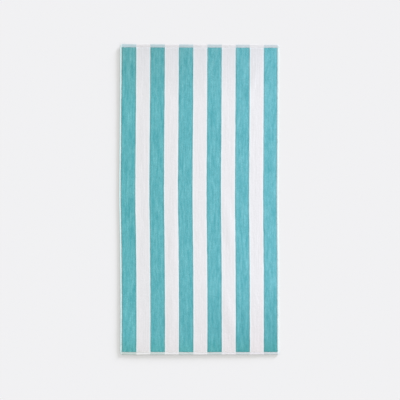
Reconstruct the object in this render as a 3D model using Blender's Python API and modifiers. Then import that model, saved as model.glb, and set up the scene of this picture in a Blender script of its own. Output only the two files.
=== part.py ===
"""A striped beach towel of cotton terry, 0.90 by 1.755 m, laid out flat on the surface it rests on.

The towel is one woven cloth. Its two long sides and its two ends are turned and sewn flat, so that the
hems are lower than the pile between them. X runs across the stripes, Y along them towards the head end,
and Z up. The origin is at the middle of the towel, on the surface under it.

The cloth is modelled as its underside, a grid that is moved into place, and Solidify gives it its
thickness. Most of it lies flat. The rims curl up a little, most of all on the left and at the foot, and
a few soft ripples stand between them.
"""

import math

import bmesh
import bpy
import numpy as np

# The cut size of the cloth and of its hems, in metres.
TOWEL_WIDTH = 0.900
TOWEL_LENGTH = 1.755
SIDE_HEM = 0.0085
FOOT_HEM = 0.0149
HEAD_HEM = 0.0171
HEM_STEP = 0.0020  # the pile rises from a hem over this width

# Thickness of the cloth, in metres.
PILE_THICKNESS = 0.0036
HEM_THICKNESS = 0.0028

# Width of each coloured stripe from left to right, with equal white stripes between them.
TEAL_STRIPES = (0.0816, 0.0808, 0.0804, 0.0800, 0.0782, 0.0770)
WHITE_STRIPE = (TOWEL_WIDTH - 2 * SIDE_HEM - sum(TEAL_STRIPES)) / (len(TEAL_STRIPES) - 1)

# The grid's largest steps, across and along.
STEP_ACROSS = 0.0180
STEP_ALONG = 0.0440

# How far the left and the right side lie to the right of a straight line, at places along the towel.
SIDE_BOW = (
    {"along": 0.00, "left": 0.0033, "right": 0.0014},
    {"along": 0.15, "left": 0.0039, "right": 0.0012},
    {"along": 0.29, "left": 0.0040, "right": 0.0010},
    {"along": 0.54, "left": 0.0022, "right": 0.0003},
    {"along": 0.69, "left": 0.0005, "right": -0.0012},
    {"along": 0.84, "left": -0.0022, "right": -0.0023},
    {"along": 0.96, "left": -0.0026, "right": -0.0021},
    {"along": 1.13, "left": -0.0015, "right": -0.0010},
    {"along": 1.36, "left": 0.0005, "right": 0.0001},
    {"along": 1.75, "left": 0.0034, "right": 0.0017},
)

# The head end runs out of square by this much from the left side to the right.
HEAD_SKEW = 0.0029

# The turned corners are blunted by this much each way.
CORNER_PULL = 0.0018

# How high each rim curls up at its middle, and how far in from the edge the curl begins. Tilt is the share
# by which it is higher at the head or right end of the rim, and sag the share by which both ends are higher.
RIM_CURL = {
    "left": {"height": 0.0042, "tilt": -0.03, "sag": 0.50, "reach": 0.130},
    "right": {"height": 0.0008, "tilt": 0.00, "sag": 0.00, "reach": 0.045},
    "foot": {"height": 0.0045, "tilt": -0.20, "sag": -0.22, "reach": 0.130},
    "head": {"height": 0.0008, "tilt": 0.00, "sag": 0.00, "reach": 0.045},
}
CURL_BLEND = 6  # the higher this is, the more a corner takes the higher of its two curls alone

# The corner at the foot's left lies lower than the rims beside it, by this share, within this reach.
CORNER_REST = 0.55
REST_REACH = 0.110

# Soft ripples. x and y are a ripple's middle, turn is its lean to the right of the stripes in degrees.
RIPPLES = (
    {"x": 0.325, "y": 0.715, "half_length": 0.120, "half_width": 0.026, "turn": 24, "height": 0.0016},
    {"x": 0.270, "y": 0.560, "half_length": 0.130, "half_width": 0.028, "turn": 18, "height": 0.0013},
    {"x": -0.330, "y": 0.700, "half_length": 0.170, "half_width": 0.048, "turn": 32, "height": 0.0020},
    {"x": -0.145, "y": -0.200, "half_length": 0.200, "half_width": 0.028, "turn": 2, "height": 0.0014},
    {"x": 0.170, "y": -0.160, "half_length": 0.190, "half_width": 0.028, "turn": -8, "height": 0.0015},
    {"x": 0.385, "y": -0.185, "half_length": 0.130, "half_width": 0.024, "turn": 12, "height": 0.0013},
    {"x": -0.370, "y": 0.020, "half_length": 0.240, "half_width": 0.034, "turn": -3, "height": 0.0010},
    {"x": 0.172, "y": -0.670, "half_length": 0.150, "half_width": 0.030, "turn": -12, "height": 0.0015},
    {"x": -0.155, "y": -0.640, "half_length": 0.150, "half_width": 0.028, "turn": 5, "height": 0.0013},
)
RIPPLE_FLOOR = 0.12  # share of each ripple's height that is cut away, so that it ends on flat cloth

# Colour, and roughness of cotton pile.
TEAL = (0.138, 0.462, 0.515, 1.0)
WHITE = (0.800, 0.800, 0.830, 1.0)
ROUGHNESS = 0.95


def clear_scene():
    """Remove every object of the start-up scene."""
    for found in list(bpy.data.objects):
        bpy.data.objects.remove(found, do_unlink=True)


def through(places, values, at):
    """Smooth curve through values at places: each span is a cubic with the slopes of its neighbours' chords."""
    places = np.asarray(places, float)
    values = np.asarray(values, float)
    slopes = np.gradient(values, places)
    at = np.clip(at, places[0], places[-1])
    span = np.clip(np.searchsorted(places, at) - 1, 0, len(places) - 2)
    width = places[span + 1] - places[span]
    t = (at - places[span]) / width
    start = values[span] * (1 + 2 * t) * (1 - t) ** 2 + slopes[span] * width * t * (1 - t) ** 2
    end = values[span + 1] * (3 - 2 * t) * t**2 - slopes[span + 1] * width * (1 - t) * t**2
    return start + end


def stripe_edges():
    """X of each edge between stripes, from the left hem to the right one."""
    edges = [SIDE_HEM - TOWEL_WIDTH / 2]
    for width in TEAL_STRIPES[:-1]:
        edges += [edges[-1] + width, edges[-1] + width + WHITE_STRIPE]
    return edges + [edges[-1] + TEAL_STRIPES[-1]]


def filled(marks, step):
    """Marks with even steps put in between them, none longer than step."""
    lines = [marks[0]]
    for low, high in zip(marks, marks[1:]):
        count = max(1, math.ceil((high - low) / step - 1e-6))
        lines += [low + (high - low) * (i + 1) / count for i in range(count)]
    return lines


def lines_across():
    """X of every lengthwise grid line: the hems, the foot of the pile beside them, and the stripes."""
    side = TOWEL_WIDTH / 2
    edges = stripe_edges()
    marks = [-side, edges[0], edges[0] + HEM_STEP, *edges[1:-1], edges[-1] - HEM_STEP, edges[-1], side]
    return filled(marks, STEP_ACROSS)


def lines_along():
    """Y of every crosswise grid line."""
    end = TOWEL_LENGTH / 2
    foot, head = FOOT_HEM - end, end - HEAD_HEM
    marks = [-end, foot, foot + HEM_STEP, head - HEM_STEP, head, end]
    return filled(marks, STEP_ALONG)


def rim_height(x, y):
    """Height of the curled rims: each rises as the square of the way from where it begins to its edge."""
    half_width, half_length = TOWEL_WIDTH / 2, TOWEL_LENGTH / 2
    ways_in = {
        "left": (x + half_width, y / half_length),
        "right": (half_width - x, y / half_length),
        "foot": (y + half_length, x / half_width),
        "head": (half_length - y, x / half_width),
    }
    total = 0.0
    for name, (way_in, run) in ways_in.items():
        curl = RIM_CURL[name]
        share = max(0.0, 1 - way_in / curl["reach"])
        swell = 1 + curl["tilt"] * run + curl["sag"] * run**2
        total += (curl["height"] * swell * share**2) ** CURL_BLEND
    from_corner = math.hypot(half_width + x, half_length + y)
    rest = 1 - CORNER_REST * max(0.0, 1 - from_corner / REST_REACH) ** 2
    return rest * total ** (1 / CURL_BLEND)


def ripple_height(x, y):
    """Height of the ripples: each is a bell-shaped ridge along its own line, cut off near its foot."""
    height = 0.0
    for ripple in RIPPLES:
        turn = math.radians(ripple["turn"])
        dx, dy = x - ripple["x"], y - ripple["y"]
        along = (dx * math.sin(turn) + dy * math.cos(turn)) / ripple["half_length"]
        across = (dx * math.cos(turn) - dy * math.sin(turn)) / ripple["half_width"]
        bell = math.exp(-(along**2) - across**2)
        height += ripple["height"] * max(0.0, bell - RIPPLE_FLOOR) / (1 - RIPPLE_FLOOR)
    return height


def laid(x, y):
    """Where a point of the flat cut lies once the towel is laid out."""
    along = y + TOWEL_LENGTH / 2
    places = [row["along"] for row in SIDE_BOW]
    left = float(through(places, [row["left"] for row in SIDE_BOW], along))
    right = float(through(places, [row["right"] for row in SIDE_BOW], along))
    share_right = x / TOWEL_WIDTH + 0.5
    share_head = along / TOWEL_LENGTH
    bow = left + (right - left) * share_right
    skew = HEAD_SKEW * (0.5 - share_right) * share_head
    from_corner = math.hypot(TOWEL_WIDTH / 2 - abs(x), TOWEL_LENGTH / 2 - abs(y))
    pull = CORNER_PULL * max(0.0, 1 - from_corner / SIDE_HEM)
    return (
        x + bow - math.copysign(pull, x),
        y + skew - math.copysign(pull, y),
        rim_height(x, y) + ripple_height(x, y),
    )


def pile_share(x, y):
    """Thickness at a point as a share of the pile's: less on the hems."""
    edges = stripe_edges()
    end = TOWEL_LENGTH / 2
    nearest = min(x - edges[0], edges[-1] - x, y + end - FOOT_HEM, end - HEAD_HEM - y)
    risen = min(1.0, max(0.0, nearest / HEM_STEP))
    return (HEM_THICKNESS + (PILE_THICKNESS - HEM_THICKNESS) * risen) / PILE_THICKNESS


def terry(name, colour):
    """Matte cotton of one colour."""
    material = bpy.data.materials.new(name)
    material.diffuse_color = colour
    material.use_nodes = True
    shader = material.node_tree.nodes["Principled BSDF"]
    shader.inputs["Base Color"].default_value = colour
    shader.inputs["Roughness"].default_value = ROUGHNESS
    shader.inputs["Metallic"].default_value = 0.0
    return material


def is_teal(x):
    """True where a point across the towel falls in a coloured stripe."""
    edges = stripe_edges()
    return any(low < x < high for low, high in zip(edges[::2], edges[1::2]))


def make_towel(collection):
    """The whole cloth as one solid."""
    columns, rows = lines_across(), lines_along()
    sheet = bmesh.new()
    bmesh.ops.create_grid(sheet, x_segments=len(columns) - 1, y_segments=len(rows) - 1, size=0.5)
    flat = {}
    for vertex in sheet.verts:
        column = round((vertex.co.x + 0.5) * (len(columns) - 1))
        row = round((vertex.co.y + 0.5) * (len(rows) - 1))
        flat[vertex] = (columns[column], rows[row])
    for face in sheet.faces:
        middle = sum(flat[vertex][0] for vertex in face.verts) / len(face.verts)
        face.material_index = 0 if is_teal(middle) else 1
    for vertex, (x, y) in flat.items():
        vertex.co = laid(x, y)
    low = np.min([vertex.co for vertex in sheet.verts], axis=0)
    high = np.max([vertex.co for vertex in sheet.verts], axis=0)
    for vertex in sheet.verts:
        vertex.co.x -= (low[0] + high[0]) / 2
        vertex.co.y -= (low[1] + high[1]) / 2

    mesh = bpy.data.meshes.new("towel_cloth")
    order = [flat[vertex] for vertex in sheet.verts]
    sheet.to_mesh(mesh)
    sheet.free()
    mesh.materials.append(terry("teal_terry", TEAL))
    mesh.materials.append(terry("white_terry", WHITE))

    towel = bpy.data.objects.new("towel_cloth", mesh)
    collection.objects.link(towel)
    thickness = towel.vertex_groups.new(name="thickness")
    for index, (x, y) in enumerate(order):
        thickness.add([index], pile_share(x, y), "REPLACE")
    solidify = towel.modifiers.new("Thickness", "SOLIDIFY")
    solidify.thickness = PILE_THICKNESS
    solidify.offset = 1.0
    solidify.vertex_group = thickness.name
    solidify.thickness_vertex_group = 0.0
    mesh.shade_smooth()
    mesh.set_sharp_from_angle(angle=math.radians(40))
    return towel


def main():
    clear_scene()
    collection = bpy.data.collections.new("beach_towel")
    bpy.context.scene.collection.children.link(collection)
    make_towel(collection)


main()
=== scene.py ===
"""Looks of a striped beach towel that lies laid out flat, seen from straight above.

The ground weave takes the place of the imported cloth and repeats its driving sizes. On it this script makes
the turned hems, the pile of each stripe, the stitches that hold the hems and the loops of pile that stand
along them. X runs across the stripes, Y along them towards the head end, and Z up, in metres.

A place on the cloth is given on the flat cut, as it was before the towel was laid out: across is how far it
lies to the right of the middle, and along how far it lies from the middle towards the head end. Up is the
height above the cloth's underside.
"""

import logging
import math
from dataclasses import dataclass, field
from enum import Enum
from typing import ClassVar

import bpy
import numpy as np
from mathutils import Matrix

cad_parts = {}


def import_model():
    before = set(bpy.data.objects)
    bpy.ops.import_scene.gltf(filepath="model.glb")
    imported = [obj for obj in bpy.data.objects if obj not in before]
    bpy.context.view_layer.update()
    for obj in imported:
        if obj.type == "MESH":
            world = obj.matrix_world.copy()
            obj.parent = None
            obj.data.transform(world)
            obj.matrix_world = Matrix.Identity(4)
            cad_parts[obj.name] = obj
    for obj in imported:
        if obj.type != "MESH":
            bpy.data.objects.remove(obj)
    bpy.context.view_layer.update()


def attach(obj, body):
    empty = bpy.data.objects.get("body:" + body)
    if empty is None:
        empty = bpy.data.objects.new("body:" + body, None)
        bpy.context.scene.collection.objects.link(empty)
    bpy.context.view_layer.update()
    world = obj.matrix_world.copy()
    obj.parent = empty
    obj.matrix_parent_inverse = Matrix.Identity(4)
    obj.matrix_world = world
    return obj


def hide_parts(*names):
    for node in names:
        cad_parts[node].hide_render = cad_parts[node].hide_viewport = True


LOG = logging.getLogger("beach_towel")

NODE = "towel_cloth"
BODY = "root"
CLOTH_MAP = "Cloth"
BAKE_MAP = "OFBake"
BORDER = "from_border"
MM = 0.001

# Where a colour that changes from the towel's left to its right has changed fully. These changes are painted
# light, lighter towards the right, and painted shade that is felt more at one side.
SIDE_REACH = 0.42

# The random values of soft noise stay within this many times their spread, and the gain makes up for what
# the blend between them takes away.
LATTICE_LIMIT = 1.8
LATTICE_GAIN = 1.4

# Share of a column's width that stays free beside it on a bake map, and how many such gaps in from the map's
# upper right corner the middle of its caps lies.
MAP_GAP = 0.02
CAP_GAPS = 1.5

# In its own square of a bake map, where a copy's bands start, where they end upwards and to the right, and
# where its two caps lie.
TILE_START = 0.08
TILE_TOP = 0.84
TILE_RIGHT = 0.92
TILE_CAPS = ((0.3, 0.92), (0.7, 0.92))
TILE_CAP_RADIUS = 0.03

# Seeds of the random draws. A draw that is made for each side, yarn or edge adds the number of that, and a
# hem's further draws are a step apart.
SEED_BUMPS = 11
SEED_RAGGED = 14
SEED_BACK = 21
SEED_FOOT = 31
SEED_HEAD = 32
SEED_HEM = 40
SEED_STITCHES = 60
SEED_LOOPS = 80
SEED_ROOTS = 90
SEED_STRIPE_EDGE = 100
SEED_STEP = 10

Colour = tuple[float, float, float]


class Yarn(Enum):
    """The two yarns that the stripes are woven from."""

    TEAL = "teal"
    WHITE = "white"


class Side(Enum):
    """The four sides of the towel. The head is at the top of the photograph."""

    LEFT = "left"
    RIGHT = "right"
    FOOT = "foot"
    HEAD = "head"


class Face(Enum):
    """The two faces of the cloth."""

    FRONT = "front"
    BACK = "back"


@dataclass(frozen=True)
class Stripe:
    """One lengthwise stripe of pile, between two distances across the flat cut."""

    name: str
    yarn: Yarn
    left: float
    right: float

    @property
    def middle(self) -> float:
        """Distance across to the stripe's middle."""
        return (self.left + self.right) / 2

    @property
    def half_width(self) -> float:
        """Half of the stripe's width."""
        return (self.right - self.left) / 2

    def border(self, across: np.ndarray) -> np.ndarray:
        """Distance of points in the stripe from the nearer of its long edges."""
        return np.minimum(across - self.left, self.right - across)


@dataclass(frozen=True)
class Cut:
    """Sizes of the flat cut of the cloth, its hems and its stripes.

    Attributes:
        width: From side to side.
        length: From the foot to the head.
        side_hem: Width of each side hem.
        foot_hem: Width of the hem at the foot.
        head_hem: Width of the hem at the head.
        teal_widths: Widths of the coloured stripes, from left to right.
        lean: How far the coloured pile leans over the white pile beside it.
        pile: Thickness of the cloth over the pile.
        hem: Thickness of a hem.
    """

    width: float = 0.900
    length: float = 1.755
    side_hem: float = 0.0085
    foot_hem: float = 0.0149
    head_hem: float = 0.0171
    teal_widths: tuple[float, ...] = (0.0816, 0.0808, 0.0804, 0.0800, 0.0782, 0.0770)
    lean: float = 0.0008
    pile: float = 0.0036
    hem: float = 0.0028

    @property
    def inner_side(self) -> float:
        """Distance across from the middle to the pile's side edges."""
        return self.width / 2 - self.side_hem

    @property
    def pile_foot(self) -> float:
        """Place along of the pile's edge at the foot hem."""
        return self.foot_hem - self.length / 2

    @property
    def pile_head(self) -> float:
        """Place along of the pile's edge at the head hem."""
        return self.length / 2 - self.head_hem

    @property
    def white_width(self) -> float:
        """Width of each white stripe: they share evenly what the others leave."""
        return (2 * self.inner_side - sum(self.teal_widths)) / (len(self.teal_widths) - 1)

    def stripes(self) -> list[Stripe]:
        """List the stripes from left to right.

        Returns:
            The stripes, coloured and white by turns.
        """
        found = []
        left = -self.inner_side
        woven = left
        for number, width in enumerate(self.teal_widths, start=1):
            woven += width
            last = number == len(self.teal_widths)
            right = self.inner_side if last else woven + self.lean
            found.append(Stripe(f"pile_teal_{number}", Yarn.TEAL, left, right))
            woven += self.white_width
            left = woven - self.lean
            if not last:
                found.append(Stripe(f"pile_white_{number}", Yarn.WHITE, right, left))
        return found

    def hem_width(self, side: Side) -> float:
        """Width of the hem along one side."""
        return {Side.FOOT: self.foot_hem, Side.HEAD: self.head_hem}.get(side, self.side_hem)


@dataclass(frozen=True)
class Bow:
    """How far the two sides lie to the right of a straight line, at a distance along from the foot."""

    along: float
    left: float
    right: float


@dataclass(frozen=True)
class Curl:
    """How a rim curls up.

    Attributes:
        height: How high it stands at its middle.
        tilt: Share by which it is higher at its head or right end.
        sag: Share by which both its ends are higher.
        reach: How far in from the edge the curl begins.
    """

    height: float
    tilt: float
    sag: float
    reach: float


@dataclass(frozen=True)
class Ripple:
    """A soft ridge in the cloth.

    Attributes:
        across: Distance across to its middle.
        along: Distance along to its middle.
        half_length: How far from its middle, along it, its bell has fallen to about a third.
        half_width: The same across it.
        turn: How far it leans to the right of the stripes, in degrees.
        height: How high its middle stands.
    """

    across: float
    along: float
    half_length: float
    half_width: float
    turn: float
    height: float


def smooth_curve(places: np.ndarray, values: np.ndarray, at: np.ndarray) -> np.ndarray:
    """Read a smooth curve that goes through given values.

    Each span is a cubic with the slopes of its neighbours' chords.

    Args:
        places: Where the values are given, in rising order.
        values: The values there.
        at: Where to read the curve.

    Returns:
        The curve's value at each place asked for.
    """
    slopes = np.gradient(values, places)
    at = np.clip(at, places[0], places[-1])
    span = np.clip(np.searchsorted(places, at) - 1, 0, len(places) - 2)
    width = places[span + 1] - places[span]
    t = (at - places[span]) / width
    start = values[span] * (1 + 2 * t) * (1 - t) ** 2 + slopes[span] * width * t * (1 - t) ** 2
    end = values[span + 1] * (3 - 2 * t) * t**2 - slopes[span + 1] * width * (1 - t) * t**2
    return start + end


@dataclass
class LaidOut:
    """Where each point of the flat cut lies once the towel is laid out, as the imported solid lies.

    Attributes:
        cut: The flat cut.
        head_skew: How far the head end runs out of square from the left side to the right.
        corner_pull: How far the turned corners are blunted each way.
        corner_rest: Share by which the corner at the foot's left lies lower than the rims beside it.
        rest_reach: How far from that corner this is felt.
        curl_blend: The higher this is, the more a corner takes the higher of its two curls alone.
        ripple_floor: Share of a ripple's bell that is cut off at its foot. The rest keeps the full height.
        outline_points: How many points of each side its outline is measured at.
        bows: How the two sides bow, from the foot to the head.
        curls: How each rim curls up.
        ripples: The soft ridges in the cloth.
    """

    cut: Cut
    head_skew: float = 0.0029
    corner_pull: float = 0.0018
    corner_rest: float = 0.55
    rest_reach: float = 0.110
    curl_blend: float = 6.0
    ripple_floor: float = 0.12
    outline_points: int = 401
    bows: tuple[Bow, ...] = (
        Bow(along=0.00, left=0.0033, right=0.0014),
        Bow(along=0.15, left=0.0039, right=0.0012),
        Bow(along=0.29, left=0.0040, right=0.0010),
        Bow(along=0.54, left=0.0022, right=0.0003),
        Bow(along=0.69, left=0.0005, right=-0.0012),
        Bow(along=0.84, left=-0.0022, right=-0.0023),
        Bow(along=0.96, left=-0.0026, right=-0.0021),
        Bow(along=1.13, left=-0.0015, right=-0.0010),
        Bow(along=1.36, left=0.0005, right=0.0001),
        Bow(along=1.75, left=0.0034, right=0.0017),
    )
    curls: dict[Side, Curl] = field(
        default_factory=lambda: {
            Side.LEFT: Curl(height=0.0042, tilt=-0.03, sag=0.50, reach=0.130),
            Side.RIGHT: Curl(height=0.0008, tilt=0.00, sag=0.00, reach=0.045),
            Side.FOOT: Curl(height=0.0045, tilt=-0.20, sag=-0.22, reach=0.130),
            Side.HEAD: Curl(height=0.0008, tilt=0.00, sag=0.00, reach=0.045),
        }
    )
    ripples: tuple[Ripple, ...] = (
        Ripple(across=0.325, along=0.715, half_length=0.120, half_width=0.026, turn=24, height=0.0016),
        Ripple(across=0.270, along=0.560, half_length=0.130, half_width=0.028, turn=18, height=0.0013),
        Ripple(across=-0.330, along=0.700, half_length=0.170, half_width=0.048, turn=32, height=0.0020),
        Ripple(across=-0.145, along=-0.200, half_length=0.200, half_width=0.028, turn=2, height=0.0014),
        Ripple(across=0.170, along=-0.160, half_length=0.190, half_width=0.028, turn=-8, height=0.0015),
        Ripple(across=0.385, along=-0.185, half_length=0.130, half_width=0.024, turn=12, height=0.0013),
        Ripple(across=-0.370, along=0.020, half_length=0.240, half_width=0.034, turn=-3, height=0.0010),
        Ripple(across=0.172, along=-0.670, half_length=0.150, half_width=0.030, turn=-12, height=0.0015),
        Ripple(across=-0.155, along=-0.640, half_length=0.150, half_width=0.028, turn=5, height=0.0013),
    )

    def __post_init__(self) -> None:
        """Centre the laid towel's outline on the origin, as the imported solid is."""
        half_width, half_length = self.cut.width / 2, self.cut.length / 2
        run = np.linspace(-1, 1, self.outline_points)
        edge = np.ones_like(run)
        across = np.concatenate([run, run, -edge, edge]) * half_width
        along = np.concatenate([-edge, edge, run, run]) * half_length
        x, y = self._moved(across, along)
        self._middle = ((x.min() + x.max()) / 2, (y.min() + y.max()) / 2)

    def _moved(self, across: np.ndarray, along: np.ndarray) -> tuple[np.ndarray, np.ndarray]:
        """Bow, skew and blunt the flat cut.

        Args:
            across: Distances across the cut.
            along: Distances along it.

        Returns:
            X and Y before the towel is centred.
        """
        from_foot = along + self.cut.length / 2
        places = np.array([bow.along for bow in self.bows])
        left = smooth_curve(places, np.array([bow.left for bow in self.bows]), from_foot)
        right = smooth_curve(places, np.array([bow.right for bow in self.bows]), from_foot)
        share = across / self.cut.width + 0.5
        skew = self.head_skew * (0.5 - share) * from_foot / self.cut.length
        corner = np.hypot(self.cut.width / 2 - np.abs(across), self.cut.length / 2 - np.abs(along))
        pull = self.corner_pull * np.clip(1 - corner / self.cut.side_hem, 0, 1)
        x = across + left + (right - left) * share - np.copysign(pull, across)
        y = along + skew - np.copysign(pull, along)
        return x, y

    def rim_height(self, across: np.ndarray, along: np.ndarray) -> np.ndarray:
        """Height of the curled rims.

        Each rises as the square of the way from where it begins to its edge. Two that meet at a corner
        are joined by the root of the sum of their high powers, which is little more than the higher one.

        Args:
            across: Distances across the cut.
            along: Distances along it.

        Returns:
            The heights.
        """
        half_width, half_length = self.cut.width / 2, self.cut.length / 2
        ways_in = {
            Side.LEFT: (half_width + across, along / half_length),
            Side.RIGHT: (half_width - across, along / half_length),
            Side.FOOT: (half_length + along, across / half_width),
            Side.HEAD: (half_length - along, across / half_width),
        }
        total = np.zeros(np.broadcast(across, along).shape)
        for side, (way_in, run) in ways_in.items():
            curl = self.curls[side]
            share = np.clip(1 - way_in / curl.reach, 0, None)
            swell = 1 + curl.tilt * run + curl.sag * run**2
            total += (curl.height * swell * share**2) ** self.curl_blend
        from_corner = np.hypot(half_width + across, half_length + along)
        rest = 1 - self.corner_rest * np.clip(1 - from_corner / self.rest_reach, 0, 1) ** 2
        return rest * total ** (1 / self.curl_blend)

    def ripple_height(self, across: np.ndarray, along: np.ndarray) -> np.ndarray:
        """Height of the ripples: each is a bell-shaped ridge along its own line, cut off near its foot.

        Args:
            across: Distances across the cut.
            along: Distances along it.

        Returns:
            The heights.
        """
        height = np.zeros(np.broadcast(across, along).shape)
        for ripple in self.ripples:
            turn = math.radians(ripple.turn)
            dx, dy = across - ripple.across, along - ripple.along
            run = (dx * math.sin(turn) + dy * math.cos(turn)) / ripple.half_length
            off = (dx * math.cos(turn) - dy * math.sin(turn)) / ripple.half_width
            bell = np.exp(-(run**2) - off**2)
            height += ripple.height * np.clip(bell - self.ripple_floor, 0, None) / (1 - self.ripple_floor)
        return height

    def place(self, across: np.ndarray, along: np.ndarray, up: np.ndarray) -> np.ndarray:
        """Lay points of the cut out.

        Args:
            across: Distances across the cut.
            along: Distances along it.
            up: Heights above the cloth's underside.

        Returns:
            The points, with X, Y and Z on the last axis.
        """
        across, along, up = np.broadcast_arrays(across, along, up)
        x, y = self._moved(across, along)
        z = up + self.rim_height(across, along) + self.ripple_height(across, along)
        return np.stack([x - self._middle[0], y - self._middle[1], z], axis=-1)


def soft_noise(u: np.ndarray, v: np.ndarray, cell_u: float, cell_v: float, seed: int) -> np.ndarray:
    """Smooth noise of mean 0 and spread about 1.

    A lattice of seeded random values, none of them far out, is read between its points with an eased blend.

    Args:
        u: First coordinate.
        v: Second coordinate.
        cell_u: Lattice spacing along the first coordinate.
        cell_v: Lattice spacing along the second.
        seed: Which lattice.

    Returns:
        The noise at each point.
    """
    u, v = np.broadcast_arrays(u / cell_u, v / cell_v)
    low_u, low_v = math.floor(u.min()), math.floor(v.min())
    size = (math.ceil(u.max()) - low_u + 2, math.ceil(v.max()) - low_v + 2)
    lattice = np.clip(np.random.default_rng(seed).normal(size=size), -LATTICE_LIMIT, LATTICE_LIMIT)
    i, j = np.floor(u).astype(int) - low_u, np.floor(v).astype(int) - low_v
    fu, fv = u - np.floor(u), v - np.floor(v)
    fu, fv = fu * fu * (3 - 2 * fu), fv * fv * (3 - 2 * fv)
    low = lattice[i, j] * (1 - fu) + lattice[i + 1, j] * fu
    high = lattice[i, j + 1] * (1 - fu) + lattice[i + 1, j + 1] * fu
    return (low * (1 - fv) + high * fv) * LATTICE_GAIN


def steps_between(start: float, end: float, step: float, fine: tuple[float, ...] = ()) -> np.ndarray:
    """Even steps between two values, with finer ones near both ends.

    Args:
        start: First value.
        end: Last value.
        step: Longest step allowed.
        fine: Distances in from each end where there is a value too, in rising order.

    Returns:
        The values in rising order.
    """
    inset = fine[-1] if fine else 0.0
    count = max(1, math.ceil((end - start - 2 * inset) / step))
    middle = np.linspace(start + inset, end - inset, count + 1)
    near = np.array((0.0, *fine[:-1])) if fine else np.array([])
    return np.concatenate([start + near, middle, end - near[::-1]])


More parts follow.
